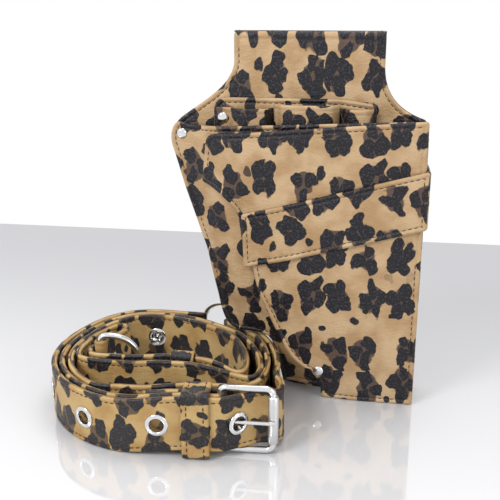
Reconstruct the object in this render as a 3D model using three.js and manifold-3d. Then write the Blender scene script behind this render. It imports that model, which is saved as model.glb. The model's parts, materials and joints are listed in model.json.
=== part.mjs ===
// A hairdresser's shears holster in leopard-print faux leather, with its coiled waist belt.
//
// Frame: millimetres, +Z up, X to the wearer's left, -Y towards the viewer of the pocket side.
// The design is drawn with the rear face of the holster on Y = 0 and its middle on X = 0, and the
// outer group then moves it so that the origin is in the middle of the flat base that it stands on.
// "Forward" below is the distance from the rear face towards the viewer, so forward = -Y.

import * as THREE from 'three';
import { mergeVertices } from 'three/addons/utils/BufferGeometryUtils.js';
import Module from 'manifold-3d';

const wasm = await Module();
wasm.setup();

// ---------------------------------------------------------------- driving dimensions
const GAP = 0.3;                 // free space between pieces that lie on each other
const LEATHER = 1.8;             // two-ply faux leather of the pocket panels
const LINING = 1.0;
const BOARD = 1.5;

const HEIGHT = 220;              // base to the fold of the belt loop
const RIGHT_EDGE = 75;
const CORNER_HEIGHT = 170;       // sharp right shoulder
const NECK_LEFT = -38;
const NECK_RIGHT = 49.5;
const LOOP_SPACE = 7;            // room for the belt behind the neck

const SLEEVE_TOP = 182;
const SLEEVE_BOTTOM = 94;
const SLEEVE_BULGE = 9;
const MIDDLE_BULGE = 12.3;       // forward room inside the middle pocket at its mouth
const MIDDLE_BULGE_LOW = 6;
const FRONT_LIFT = 4.8;          // room between the middle and the front pocket at the mouth
const BASE_DEPTH = 25.2;         // forward room inside the lower front pocket

const BAND_SLOPE = 0.275;        // rise of the diagonal band per unit of X
const BAND_LEFT = -31;
const BAND_TOP_AT_ZERO = 124;
const BAND_WIDTH_Z = 34;

const BASE_ORIGIN = { x: 40, y: -15 };

const STRAP = 32;                // belt strap height
const STRAP_THICK = 2.6;
const PITCH = 4.2;               // spacing of the coil's layers
const COIL = { x: -73, y: -41, a: 68.7, b: 65.7, skew: 16, full: 10 };
const HEEL = { x: -30.5, y: -97.5, turn: THREE.MathUtils.degToRad(4) };
const BUCKLE_LIFT = 4.5;         // the strap rises here so that the frame clears the floor
const FRAME = { length: 29, height: 36.6, bar: 1.8, z: 20.7 };
const ROLLER_RADIUS = 2.9;
const ROLLER_LENGTH = 28;
const EYELET = { outer: 6.4, hole: 4, sleeve: 4.5, flange: 0.5, spacing: 44, count: 6 };
// How deep the leather bent up beside an eyelet is pressed flat by its flange.
const PRESSED = 1.5;
const INNER_KEEPER = { x: -62, y: -50, lift: 2.4 };
const D_RING = { bar: 36.4, reach: 23, wire: 1.9, z: 21 };
const RIVET = { cap: 3.1, dome: 1.5, shank: 1.1 };

// ---------------------------------------------------------------- materials
const finish = (color, roughness, metalness = 0) => () =>
  new THREE.MeshStandardMaterial({ color, roughness, metalness });
const print = finish(0xc59f68, 0.5);
const black = finish(0x241f22, 0.75);
const board = finish(0x8c7a62, 0.9);
const chrome = finish(0xd8dade, 0.15, 1);

// ---------------------------------------------------------------- solids and booleans
const group = new THREE.Group();

function add(name, geometry, material) {
  const mesh = new THREE.Mesh(geometry, material());
  mesh.name = name;
  group.add(mesh);
  return mesh;
}

function toSolid(geometry) {
  const bare = new THREE.BufferGeometry();
  bare.setAttribute('position', geometry.getAttribute('position').clone());
  if (geometry.index) bare.setIndex(geometry.index.clone());
  const merged = mergeVertices(bare, 1e-4);
  return new wasm.Manifold(new wasm.Mesh({
    numProp: 3,
    vertProperties: new Float32Array(merged.getAttribute('position').array),
    triVerts: new Uint32Array(merged.index.array),
  }));
}

function toGeometry(solid) {
  const mesh = solid.getMesh();
  const geometry = new THREE.BufferGeometry();
  geometry.setAttribute('position', new THREE.BufferAttribute(new Float32Array(mesh.vertProperties), 3));
  geometry.setIndex(new THREE.BufferAttribute(new Uint32Array(mesh.triVerts), 1));
  return geometry;
}

const subtract = (geometry, ...tools) =>
  toGeometry(tools.reduce((solid, tool) => solid.subtract(toSolid(tool)), toSolid(geometry)));

// A flat outline in X and Z, extruded forward from one depth to another.
function plate(outline, from, to, curveSegments = 8) {
  const geometry = new THREE.ExtrudeGeometry(outline, { depth: to - from, bevelEnabled: false, curveSegments });
  return geometry.rotateX(Math.PI / 2).translate(0, -from, 0);
}

// A plan outline in X and Y, extruded upward.
function column(outline, bottom, top, curveSegments = 8) {
  const geometry = new THREE.ExtrudeGeometry(outline, { depth: top - bottom, bevelEnabled: false, curveSegments });
  return geometry.translate(0, 0, bottom);
}

// A closed skin over a grid of rings: each ring is a list of points, joined to the next ring.
// A loop joins the last ring to the first one; otherwise both ends are capped.
function skin(rings, loop) {
  const size = rings[0].length;
  const count = rings.length;
  const index = [];
  for (let i = 0; i < (loop ? count : count - 1); i += 1) {
    for (let j = 0; j < size; j += 1) {
      const a = i * size + j;
      const b = i * size + (j + 1) % size;
      const c = ((i + 1) % count) * size + (j + 1) % size;
      const d = ((i + 1) % count) * size + j;
      index.push(a, b, c, a, c, d);
    }
  }
  if (!loop) {
    const last = (count - 1) * size;
    for (let j = 1; j < size - 1; j += 1) {
      index.push(0, j + 1, j, last, last + j, last + j + 1);
    }
  }
  const geometry = new THREE.BufferGeometry();
  geometry.setAttribute('position', new THREE.BufferAttribute(
    new Float32Array(rings.flat().flatMap((p) => [p.x, p.y, p.z])), 3));
  geometry.setIndex(index);
  return toSolid(geometry).volume() < 0 ? flip(geometry) : geometry;
}

function flip(geometry) {
  const index = Array.from(geometry.index.array);
  for (let i = 0; i < index.length; i += 3) {
    [index[i], index[i + 1]] = [index[i + 1], index[i]];
  }
  geometry.setIndex(index);
  return geometry;
}

// A sheet of even thickness over a rectangle of X and Z, whose inner face is at depth(x, z).
function sheet(depth, thickness, box, columns, rows) {
  const rings = [];
  for (let i = 0; i <= columns; i += 1) {
    const x = THREE.MathUtils.lerp(box.x0, box.x1, i / columns);
    const inner = [];
    const outer = [];
    for (let j = 0; j <= rows; j += 1) {
      const z = THREE.MathUtils.lerp(box.z0, box.z1, j / rows);
      const forward = depth(x, z);
      inner.push(new THREE.Vector3(x, -forward, z));
      outer.unshift(new THREE.Vector3(x, -forward - thickness, z));
    }
    rings.push([...inner, ...outer]);
  }
  return stripSkin(rings);
}

// As skin, with end caps that follow the two faces of a sheet instead of a fan.
function stripSkin(rings) {
  const size = rings[0].length;
  const half = size / 2;
  const last = (rings.length - 1) * size;
  const index = [];
  for (let i = 0; i < rings.length - 1; i += 1) {
    for (let j = 0; j < size; j += 1) {
      const a = i * size + j;
      const b = i * size + (j + 1) % size;
      const c = (i + 1) * size + (j + 1) % size;
      const d = (i + 1) * size + j;
      index.push(a, b, c, a, c, d);
    }
  }
  for (let j = 0; j < half - 1; j += 1) {
    const k = size - 1 - j;
    index.push(j, k, j + 1, j + 1, k, k - 1);
    index.push(last + j, last + j + 1, last + k, last + j + 1, last + k - 1, last + k);
  }
  const geometry = new THREE.BufferGeometry();
  geometry.setAttribute('position', new THREE.BufferAttribute(
    new Float32Array(rings.flat().flatMap((p) => [p.x, p.y, p.z])), 3));
  geometry.setIndex(index);
  return toSolid(geometry).volume() < 0 ? flip(geometry) : geometry;
}

const trim = (geometry, outline) =>
  toGeometry(toSolid(geometry).intersect(toSolid(plate(outline, -5, 60))));

// ---------------------------------------------------------------- outlines of the holster
// The left edge runs down from the rounded shoulder and turns in above the lower corner.
function leftEdge(shape) {
  shape.bezierCurveTo(-74.5, 167, -79.5, 160, -74.8, 149);
  shape.lineTo(-68.4, 127);
  shape.lineTo(-55.8, 90);
  shape.lineTo(-48.5, 58);
  shape.bezierCurveTo(-46, 42, -42, 34.6, -34, 34.4);
  shape.lineTo(-20, 34.2);
  shape.bezierCurveTo(-14, 34, -13, 30, -11.5, 24);
  shape.lineTo(-6, 0);
}

function pouchOutline(top) {
  const shape = new THREE.Shape();
  shape.moveTo(-6, 0);
  shape.lineTo(RIGHT_EDGE, 0);
  shape.lineTo(RIGHT_EDGE, CORNER_HEIGHT);
  shape.bezierCurveTo(63, 173.5, 50.5, 181, NECK_RIGHT, 199);
  shape.lineTo(NECK_RIGHT, top);
  shape.lineTo(NECK_LEFT, top);
  shape.lineTo(NECK_LEFT, 201);
  shape.bezierCurveTo(-40.5, 188, -56, 180, -68.6, 171);
  leftEdge(shape);
  return shape;
}

// Top edges of the middle and front pockets, which rise a little to the right.
const middleTop = (x) => 168.4 + 0.045 * x;
const frontTop = (x) => 166.4 + 0.085 * x;
const bandTop = (x) => BAND_TOP_AT_ZERO + BAND_SLOPE * x;
const bandMiddle = (x) => bandTop(x) - BAND_WIDTH_Z / 2;

function middleOutline() {
  const shape = new THREE.Shape();
  const right = RIGHT_EDGE - LEATHER - 1;
  shape.moveTo(-5.4, 2.2);
  shape.lineTo(right, 2.2);
  shape.lineTo(right, middleTop(right));
  shape.lineTo(-64, middleTop(-64));
  shape.lineTo(-71.6, 167.6);
  leftEdge(shape);
  return shape;
}

function frontUpperOutline() {
  const shape = new THREE.Shape();
  shape.moveTo(BAND_LEFT, bandMiddle(BAND_LEFT) + GAP);
  shape.lineTo(RIGHT_EDGE, bandMiddle(RIGHT_EDGE) + GAP);
  shape.lineTo(RIGHT_EDGE, frontTop(RIGHT_EDGE));
  shape.lineTo(-46, frontTop(-46));
  shape.quadraticCurveTo(-53, 162, -53.4, 156);
  shape.lineTo(-56.4, 132.5);
  shape.quadraticCurveTo(-44, 130.5, -33, 114.5);
  return shape;
}

// The left edge of the lower front pocket, from the band down to the base.
function lowerLeftEdge(shape) {
  shape.lineTo(-4.5, 33);
  shape.quadraticCurveTo(2, 21.5, 10, 18);
  shape.quadraticCurveTo(19.4, 13, 19.2, 4);
  shape.lineTo(19.2, 0);
}

function frontLowerOutline() {
  const shape = new THREE.Shape();
  shape.moveTo(19.2, 0);
  shape.lineTo(RIGHT_EDGE, 0);
  shape.lineTo(RIGHT_EDGE, bandMiddle(RIGHT_EDGE) - GAP);
  shape.lineTo(BAND_LEFT + 2, bandMiddle(BAND_LEFT + 2) - GAP);
  shape.quadraticCurveTo(-24, 82, -21, 66);
  lowerLeftEdge(shape);
  return shape;
}

function bandOutline(right) {
  const shape = new THREE.Shape();
  shape.moveTo(BAND_LEFT + 1.5, bandTop(BAND_LEFT + 1.5) - BAND_WIDTH_Z);
  shape.lineTo(right, bandTop(right) - BAND_WIDTH_Z);
  shape.lineTo(right, bandTop(right));
  shape.lineTo(BAND_LEFT, bandTop(BAND_LEFT));
  return shape;
}

// ---------------------------------------------------------------- depths of the holster's layers
const LINING_FRONT = LINING;
const BOARD_BACK = LINING_FRONT + GAP;
const BACK_BACK = BOARD_BACK + BOARD + GAP;
const BACK_FRONT = BACK_BACK + LEATHER;
const LAYER_1 = BACK_FRONT + GAP;

// X of the holster's left edge at a height, for the swell of the pockets.
function leftEdgeAt(z) {
  if (z > 127) return -64;
  if (z > 58) return THREE.MathUtils.mapLinear(z, 58, 127, -48.5, -64);
  return THREE.MathUtils.mapLinear(Math.max(z, 0), 0, 58, -6, -44);
}

// X of the front pocket's left edge at a height.
function frontEdgeAt(z) {
  if (z > 132) return -56;
  if (z > 114) return THREE.MathUtils.mapLinear(z, 114, 132, -33, -56);
  if (z > 66) return THREE.MathUtils.mapLinear(z, 66, 114, -21, -32);
  return THREE.MathUtils.mapLinear(Math.max(z, 0), 0, 66, 18, -21);
}

const swell = (distance, reach) => Math.sin(Math.PI / 2 * THREE.MathUtils.clamp(distance / reach, 0, 1));

function middleDepth(x, z) {
  const room = THREE.MathUtils.lerp(MIDDLE_BULGE_LOW, MIDDLE_BULGE, THREE.MathUtils.smoothstep(z, 15, 90));
  return LAYER_1 + room * swell(x - leftEdgeAt(z) - 2, 22);
}

// The lower front pocket stands well forward even at its left edge, where a gusset closes it.
function frontDepth(x, z) {
  const floor = middleDepth(x, z) + LEATHER + GAP;
  const low = Math.max(BASE_DEPTH - floor, FRONT_LIFT);
  const lift = THREE.MathUtils.lerp(low, FRONT_LIFT, THREE.MathUtils.smoothstep(z, 60, 125));
  const atEdge = 0.8 * (1 - THREE.MathUtils.smoothstep(z, 30, 95));
  return floor + lift * (atEdge + (1 - atEdge) * swell(x - frontEdgeAt(z) - 2, 30));
}

const bandDepth = (x, z) => frontDepth(x, z) + LEATHER + 2 * GAP;

// ---------------------------------------------------------------- rivets of the holster
const RIVETS = [
  { name: 'shoulder_rivet', x: -69.8, z: 160.2, from: 0, to: LAYER_1 + LEATHER },
  { name: 'sleeve_rivet', x: -44.3, z: 170.4, from: 0, to: LAYER_1 + 2 * (1.5 + GAP) - GAP },
  { name: 'base_rivet', x: 17.4, z: 18.4, from: frontDepth(14, 18), to: frontDepth(21, 18) + LEATHER },
];

const rivetHole = (rivet) => new THREE.CylinderGeometry(RIVET.shank + GAP, RIVET.shank + GAP, 80, 16)
  .translate(rivet.x, 0, rivet.z);

// A solid of revolution about the forward axis, from pairs of radius and forward distance.
function turned(profile, x, z, segments = 20) {
  const points = profile.map(([radius, forward]) => new THREE.Vector2(radius, forward));
  points.push(points[0].clone());
  const geometry = new THREE.LatheGeometry(points, segments).rotateX(Math.PI).translate(x, 0, z);
  return toSolid(geometry).volume() < 0 ? flip(indexed(geometry)) : geometry;
}

const indexed = (geometry) => mergeVertices(geometry, 1e-5);

function addRivet(rivet) {
  const front = rivet.to + GAP;
  const back = rivet.from - GAP;
  const cap = [[0, back - 0.8], [RIVET.shank, back - 0.8], [RIVET.shank, front], [RIVET.cap, front]];
  cap.push([RIVET.cap, front + 0.5], [RIVET.cap * 0.75, front + 1.2], [RIVET.cap * 0.4, front + RIVET.dome]);
  cap.push([0, front + RIVET.dome]);
  add(rivet.name, turned(cap, rivet.x, rivet.z), chrome);
  const inner = RIVET.shank + GAP;
  const burr = [[inner, back], [RIVET.cap, back], [RIVET.cap, back - 0.4], [inner, back - 1.0]];
  add(`${rivet.name}_washer`, turned(burr, rivet.x, rivet.z), chrome);
}

// ---------------------------------------------------------------- pieces of the holster
function addBack() {
  const holes = RIVETS.slice(0, 2).map(rivetHole);
  const full = pouchOutline(HEIGHT - 2.4 - GAP);
  add('back_panel', subtract(plate(full, BACK_BACK, BACK_FRONT), ...holes), print);
  add('back_lining', subtract(plate(pouchOutline(HEIGHT - 3), 0, LINING), ...holes), black);
  add('stiffener_board', subtract(plate(stiffenerOutline(), BOARD_BACK, BOARD_BACK + BOARD), holes[1]), board);
}

function stiffenerOutline() {
  const shape = new THREE.Shape();
  shape.moveTo(0, 4);
  shape.lineTo(70, 4);
  shape.lineTo(70, 165);
  shape.quadraticCurveTo(46, 172, 44, 196);
  shape.lineTo(44, 212);
  shape.lineTo(-32, 212);
  shape.lineTo(-32, 196);
  shape.quadraticCurveTo(-36, 182, -60, 168);
  shape.lineTo(-64, 158);
  shape.lineTo(-63, 127);
  shape.lineTo(-43, 60);
  shape.quadraticCurveTo(-38, 44, -14, 41);
  shape.quadraticCurveTo(-6, 38, 0, 4);
  return shape;
}

// The loop: folded over the top of the neck and sewn down on the rear face, seen from the side.
function addLoop() {
  const leather = 2.4;
  const rear = LOOP_SPACE + leather;
  const front = -BACK_FRONT;
  const shape = new THREE.Shape();
  shape.moveTo(GAP, 148);
  shape.lineTo(GAP + leather, 148);
  shape.lineTo(GAP + leather, 160);
  shape.bezierCurveTo(GAP + leather, 168, rear, 164, rear, 174);
  shape.lineTo(rear, HEIGHT - 5);
  shape.quadraticCurveTo(rear, HEIGHT, rear - 5, HEIGHT);
  shape.lineTo(front + 2, HEIGHT);
  shape.quadraticCurveTo(front, HEIGHT, front, HEIGHT - 2.3);
  shape.lineTo(LOOP_SPACE - 2, HEIGHT - 2.4);
  shape.quadraticCurveTo(LOOP_SPACE, HEIGHT - 2.4, LOOP_SPACE, HEIGHT - 4.4);
  shape.lineTo(LOOP_SPACE, 174);
  shape.bezierCurveTo(LOOP_SPACE, 166, GAP, 169, GAP, 160);
  const width = NECK_RIGHT - NECK_LEFT;
  const geometry = new THREE.ExtrudeGeometry(shape, { depth: width, bevelEnabled: false, curveSegments: 6 });
  geometry.rotateX(Math.PI / 2).rotateZ(Math.PI / 2).translate(NECK_LEFT, 0, 0);
  add('belt_loop', geometry, print);
}

// A shears sleeve: an arch of leather with a sewn flange on each side, standing off its backing.
function sleeveOutline(x0, x1, flangeLeft, back) {
  const wall = 1.5;
  const ramp = 7;
  const rise = SLEEVE_BULGE;
  const shape = new THREE.Shape();
  shape.moveTo(x0 - flangeLeft, -back);
  shape.lineTo(x0, -back);
  shape.bezierCurveTo(x0 + 2, -back, x0 + 1, -back - rise + wall, x0 + ramp, -back - rise + wall);
  shape.lineTo(x1 - ramp, -back - rise + wall);
  shape.bezierCurveTo(x1 - 1, -back - rise + wall, x1 - 2, -back, x1 - 0.2, -back);
  shape.lineTo(x1 + 2, -back);
  shape.lineTo(x1 + 2, -back - wall);
  shape.bezierCurveTo(x1 + 0.5, -back - wall, x1 + 0.5, -back - rise, x1 - ramp, -back - rise);
  shape.lineTo(x0 + ramp, -back - rise);
  shape.bezierCurveTo(x0 - 1.5, -back - rise, x0, -back - wall, x0 - 2, -back - wall);
  shape.lineTo(x0 - flangeLeft, -back - wall);
  return shape;
}

const SLEEVES = [
  { name: 'shears_sleeve_left', x0: -38.6, x1: -16.5, flange: 10.9, top: 176.5 },
  { name: 'shears_sleeve_middle', x0: -10.3, x1: 22.5, flange: 3.4, top: 179 },
  { name: 'shears_sleeve_right', x0: 27.6, x1: 43.5, flange: 2.6, top: 177 },
];

function addSleeves() {
  const backing = new THREE.Shape();
  backing.moveTo(-50, SLEEVE_BOTTOM);
  backing.lineTo(46, SLEEVE_BOTTOM);
  backing.lineTo(46, SLEEVE_TOP - 3);
  backing.lineTo(26, SLEEVE_TOP);
  backing.lineTo(-44, SLEEVE_TOP);
  backing.quadraticCurveTo(-50, SLEEVE_TOP - 1, -50, SLEEVE_TOP - 8);
  const hole = rivetHole(RIVETS[1]);
  add('sleeve_backing', subtract(plate(backing, LAYER_1, LAYER_1 + 1.5), hole), print);
  const back = LAYER_1 + 1.5 + GAP;
  for (const { name, x0, x1, flange, top } of SLEEVES) {
    const arch = column(sleeveOutline(x0, x1, flange, back), SLEEVE_BOTTOM, top, 5);
    add(name, name === 'shears_sleeve_left' ? subtract(arch, hole) : arch, print);
  }
}

// Every pocket sheet is sampled at the same places, so that the layers keep their distance.
const layerSheet = (depth) =>
  sheet(depth, LEATHER, { x0: -80, x1: RIGHT_EDGE + 5, z0: -2, z1: 176 }, 24, 18);

function addPockets() {
  const holes = RIVETS.map(rivetHole);
  const middle = trim(layerSheet(middleDepth), middleOutline());
  add('middle_pocket', subtract(middle, holes[0], holes[2]), print);
  add('front_pocket_upper', trim(layerSheet(frontDepth), frontUpperOutline()), print);
  const lower = trim(layerSheet(frontDepth), frontLowerOutline());
  add('front_pocket_lower', subtract(lower, holes[2]), print);
}

// The band lies over the seam of the front pocket and returns round the right edge.
function addBand() {
  const right = RIGHT_EDGE + GAP + LEATHER;
  const face = toSolid(trim(layerSheet(bandDepth), bandOutline(right)));
  const side = new THREE.Shape();
  side.moveTo(RIGHT_EDGE + GAP, bandTop(RIGHT_EDGE) - BAND_WIDTH_Z);
  side.lineTo(right, bandTop(right) - BAND_WIDTH_Z);
  side.lineTo(right, bandTop(right));
  side.lineTo(RIGHT_EDGE + GAP, bandTop(RIGHT_EDGE));
  const wrap = toSolid(plate(side, 1.2, frontDepth(RIGHT_EDGE, 125) + LEATHER + 1));
  add('diagonal_band', toGeometry(face.add(wrap)), print);
}

function addGussets() {
  const side = new THREE.BoxGeometry(LEATHER, 23.9 - LAYER_1, 164);
  side.translate(RIGHT_EDGE - LEATHER / 2, -(23.9 + LAYER_1) / 2, 82);
  add('side_gusset', side, print);
  addPocketGusset();
  const steps = 10;
  const shape = new THREE.Shape();
  const right = RIGHT_EDGE - LEATHER - GAP;
  shape.moveTo(-3, -LAYER_1);
  shape.lineTo(right, -LAYER_1);
  for (let i = 0; i <= steps; i += 1) {
    const x = THREE.MathUtils.lerp(right, 22.5, i / steps);
    shape.lineTo(x, -(Math.min(frontDepth(x, 0), frontDepth(x, 2)) - 2 * GAP));
  }
  shape.lineTo(22.5, -middleDepth(22.5, 0));
  shape.lineTo(10, -(middleDepth(10, 0) - GAP));
  shape.lineTo(-3, -LAYER_1 - 1);
  add('base_gusset', column(shape, 0, LEATHER), black);
}

// The narrow wall between the middle pocket and the left edge of the lower front pocket.
function addPocketGusset() {
  const edge = new THREE.Shape();
  edge.moveTo(-21, 66);
  lowerLeftEdge(edge);
  const thick = 1.5;
  const rings = edge.getPoints(6).map(({ x, y: z }) => {
    const back = middleDepth(x + thick, Math.max(z, 2)) + LEATHER + 2 * GAP;
    const front = Math.max(frontDepth(x, z) - 7 * GAP, back + 0.6);
    const corner = (across, forward) => new THREE.Vector3(x + across, -forward, z);
    return [corner(0.5, back), corner(0.5 + thick, back), corner(0.5 + thick, front), corner(0.5, front)];
  });
  add('pocket_gusset', skin(rings, false), print);
}

// ---------------------------------------------------------------- route of the belt
const rad = THREE.MathUtils.degToRad;

// A point of the coil at an angle from +X, on a layer counted inward from the outermost one.
function ring(angle, layer) {
  const turn = rad(angle);
  const c = Math.cos(turn);
  const s = Math.sin(turn);
  let y = COIL.y + (COIL.b - layer * PITCH) * s;
  if (c > 0) y -= COIL.skew * c ** 4;
  if (c < 0 && s > 0) y += COIL.full * Math.sin(2 * turn) ** 2;
  return new THREE.Vector2(COIL.x + (COIL.a - layer * PITCH) * c, y);
}

// The two innermost strands cross the front well inside the others, nearly straight.
function innerRing(angle, layer, flatness) {
  const point = ring(angle, layer);
  const s = Math.sin(rad(angle));
  if (s >= 0) return point;
  const full = (COIL.b - layer * PITCH) * s;
  const flat = -(COIL.b - layer * PITCH) * flatness * Math.tanh(-s / flatness);
  return new THREE.Vector2(point.x, point.y - full + flat);
}

// A point beside the buckle: along the strap from the heel bar, and outward from its plane.
function atBuckle(along, outward) {
  const { x, y, turn } = HEEL;
  return new THREE.Vector2(
    x + along * Math.cos(turn) + outward * Math.sin(turn),
    y + along * Math.sin(turn) - outward * Math.cos(turn));
}

function arc(from, to, layers, point = ring) {
  const steps = Math.max(1, Math.round(Math.abs(to - from) / 15));
  const points = [];
  for (let i = 0; i <= steps; i += 1) {
    const t = i / steps;
    points.push(point(THREE.MathUtils.lerp(from, to, t), THREE.MathUtils.lerp(layers[0], layers[1], t)));
  }
  return points;
}

// The strap from the end that is folded round the heel bar, through the coil, to the free tip.
function strapRoute() {
  const heelFold = [
    atBuckle(-42, -2.4), atBuckle(-28, -2), atBuckle(-14, -2), atBuckle(-5, -3.1), atBuckle(0, -3.7),
    atBuckle(2.6, -2.6), atBuckle(3.7, 0), atBuckle(2.6, 2.6), atBuckle(0, 3.7), atBuckle(-5, 3.4),
    atBuckle(-14, 2.6), atBuckle(-28, 2.2),
  ];
  const inner = (flatness) => (angle, layer) => innerRing(angle, layer, flatness);
  return [
    ...heelFold,
    ...arc(265, 105, [1, 1]),
    ...arc(92, 66, [1.7, 3.3]),
    ...arc(50, 10, [3, 2.4]),
    ...arc(-4, -176, [2.4, 3], inner(0.34)),
    ...arc(-190, -205, [3, 3.1]),
    ring(-216, 3.7), ring(-219, 4.8), ring(-214, 5.8), ring(-203, 5.9), ring(-190, 5.2),
    ...arc(-176, -4, [4.4, 4.7], inner(0.2)),
    ...arc(10, 50, [4.4, 4.4]),
    ...arc(66, 92, [4.5, 2.8]),
    ...arc(105, 240, [2.1, 2.2]),
    ...arc(252, 300, [3.7, 3.6]),
    ...arc(315, 400, [2, 1.1]),
    ring(415, 1.7), ring(424, 1.8), ring(429, 0.9), ring(424, 0), ring(414, -0.1),
    ...arc(400, 355, [0, 0]),
    new THREE.Vector2(-1.4, -66), new THREE.Vector2(1.2, -79), new THREE.Vector2(0.6, -87),
    atBuckle(29, -4.7), atBuckle(22, -4.9), atBuckle(15.5, -1.6), atBuckle(8, 5.4), atBuckle(2, 7.4),
    atBuckle(-5, 7.3), atBuckle(-14, 6.9), atBuckle(-28, 6.6),
    ...arc(265, 82, [-0.1, -0.1]),
  ];
}

const flatRoute = new THREE.CatmullRomCurve3(
  strapRoute().map((p) => new THREE.Vector3(p.x, p.y, 0)), false, 'centripetal');
flatRoute.arcLengthDivisions = 2000;

// Height of the strap's lower edge: it rises smoothly beside the buckle.
function strapLift(x, y) {
  const reach = Math.hypot(x - HEEL.x - 12, y - HEEL.y);
  const front = 1 - THREE.MathUtils.smoothstep(y, -92, -76);
  const inner = Math.hypot(x - INNER_KEEPER.x, y - INNER_KEEPER.y);
  const keeperLift = INNER_KEEPER.lift * (1 - THREE.MathUtils.smoothstep(inner, 10, 34));
  return BUCKLE_LIFT * (1 - THREE.MathUtils.smoothstep(reach, 26, 75)) * front + keeperLift;
}

// A place on the strap, by the distance along it: its point, direction and outward normal.
function strapAt(distance) {
  const t = distance / flatRoute.getLength();
  const point = flatRoute.getPointAt(t);
  const along = flatRoute.getTangentAt(t);
  point.z = strapLift(point.x, point.y) + STRAP / 2;
  return { point, along, normal: new THREE.Vector3(along.y, -along.x, 0) };
}

// Distance along the strap of the place nearest to a point of the plan, within a range.
function strapDistanceNear(x, y, from, to) {
  let best = from;
  let least = Infinity;
  for (let s = from; s <= to; s += 0.5) {
    const { point } = strapAt(s);
    const away = Math.hypot(point.x - x, point.y - y);
    if (away < least) [least, best] = [away, s];
  }
  return best;
}

const ROUTE_LENGTH = flatRoute.getLength();
const TAIL_PLACE = atBuckle(29, -4.7);
const TAIL_START = strapDistanceNear(TAIL_PLACE.x, TAIL_PLACE.y, ROUTE_LENGTH - 420, ROUTE_LENGTH);

// The steps along the strap are short where it turns sharply.
function strapSteps() {
  const steps = [0];
  let s = 0;
  while (s < ROUTE_LENGTH) {
    const here = flatRoute.getTangentAt(s / ROUTE_LENGTH);
    const ahead = flatRoute.getTangentAt(Math.min(1, (s + 5) / ROUTE_LENGTH));
    const turn = here.angleTo(ahead);
    s += THREE.MathUtils.clamp(0.35 * 5 / Math.max(turn, 0.02), 1.3, 13);
    steps.push(Math.min(s, ROUTE_LENGTH));
  }
  return steps;
}

const PRONG_PLACE = atBuckle(9.7, 4);
const PRONG_EYELET = strapDistanceNear(PRONG_PLACE.x, PRONG_PLACE.y, TAIL_START, TAIL_START + 30);
const eyeletPlaces = Array.from({ length: EYELET.count }, (_, i) => PRONG_EYELET + i * EYELET.spacing);
const STUD_AT = strapDistanceNear(-96, 16, 750, 1100);
const INNER_KEEPER_AT = strapDistanceNear(INNER_KEEPER.x, INNER_KEEPER.y, 560, 760);
const BACK_RING_AT = strapDistanceNear(-41, 16, ROUTE_LENGTH - 480, ROUTE_LENGTH - 300);
const INNER_RING_AT = strapDistanceNear(-122, -31, 560, 700);

// A cylinder whose axis is the strap's normal at a place.
function acrossStrap(geometry, distance, offset = 0) {
  const { point, normal } = strapAt(distance);
  const turn = new THREE.Quaternion().setFromUnitVectors(new THREE.Vector3(0, 1, 0), normal);
  return geometry.applyQuaternion(turn).translate(
    point.x + normal.x * offset, point.y + normal.y * offset, point.z);
}

function addStrap() {
  const rings = strapSteps().map((s) => {
    const { point, normal } = strapAt(s);
    const half = STRAP_THICK / 2;
    const corner = (side, up) => new THREE.Vector3(
      point.x + normal.x * half * side, point.y + normal.y * half * side, point.z + up * STRAP / 2);
    return [corner(-1, -1), corner(1, -1), corner(1, 1), corner(-1, 1)];
  });
  const holeRadius = EYELET.sleeve + GAP;
  const holes = [...eyeletPlaces, STUD_AT].flatMap((s) => [
    acrossStrap(new THREE.CylinderGeometry(holeRadius, holeRadius, 5, 20), s),
    ...[-1, 1].map((side) => acrossStrap(
      new THREE.CylinderGeometry(EYELET.outer + GAP, EYELET.outer + GAP, PRESSED, 20),
      s, side * (STRAP_THICK + PRESSED) / 2)),
  ]);
  const heelSlot = new THREE.BoxGeometry(13, 9.6, 6).rotateZ(HEEL.turn);
  heelSlot.translate(HEEL.x + 1.5, HEEL.y, FRAME.z);
  add('belt_strap', subtract(skin(rings, false), ...holes, heelSlot), print);
}

// A metal eyelet: a sleeve through the strap with a flange on each face. The flange on the hollow
// side of the bend stands off a little more, because its disc is flat.
function eyelet(distance) {
  const convex = STRAP_THICK / 2 + GAP;
  const hollow = convex + 0.35;
  const { outer, hole, sleeve, flange } = EYELET;
  const points = [
    [hole, -convex - flange * 0.6], [hole + 1, -convex - flange], [outer, -convex - flange * 0.6],
    [outer, -convex], [sleeve, -convex], [sleeve, hollow], [outer, hollow], [outer, hollow + flange * 0.6],
    [hole + 1, hollow + flange], [hole, hollow + flange * 0.6], [hole, -convex - flange * 0.6],
  ].map(([radius, out]) => new THREE.Vector2(radius, out));
  const geometry = new THREE.LatheGeometry(points, 20);
  if (hollowSide(distance) < 0) geometry.rotateX(Math.PI);
  return acrossStrap(geometry, distance);
}

function addEyelets() {
  eyeletPlaces.forEach((s, i) => add(`eyelet_${i + 1}`, eyelet(s), chrome));
  add('stud_eyelet', eyelet(STUD_AT), chrome);
  const profile = [[0, -1.2], [3.4, -1.2], [3.4, -0.2], [1.4, 0.3], [1.4, 8.6], [2.6, 9.2]];
  profile.push([2.6, 10.4], [1.4, 11.1], [0, 11.3]);
  const stud = profile.map(([radius, out]) => new THREE.Vector2(radius, out));
  const post = new THREE.LatheGeometry(stud, 16);
  if (hollowSide(STUD_AT) < 0) post.rotateX(Math.PI);
  add('belt_stud', acrossStrap(post, STUD_AT), chrome);
}

// +1 where the strap's normal points into the hollow of the coil, else -1.
function hollowSide(distance) {
  const { point, normal } = strapAt(distance);
  return Math.sign(normal.dot(new THREE.Vector3(COIL.x - point.x, COIL.y - point.y, 0)));
}

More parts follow.
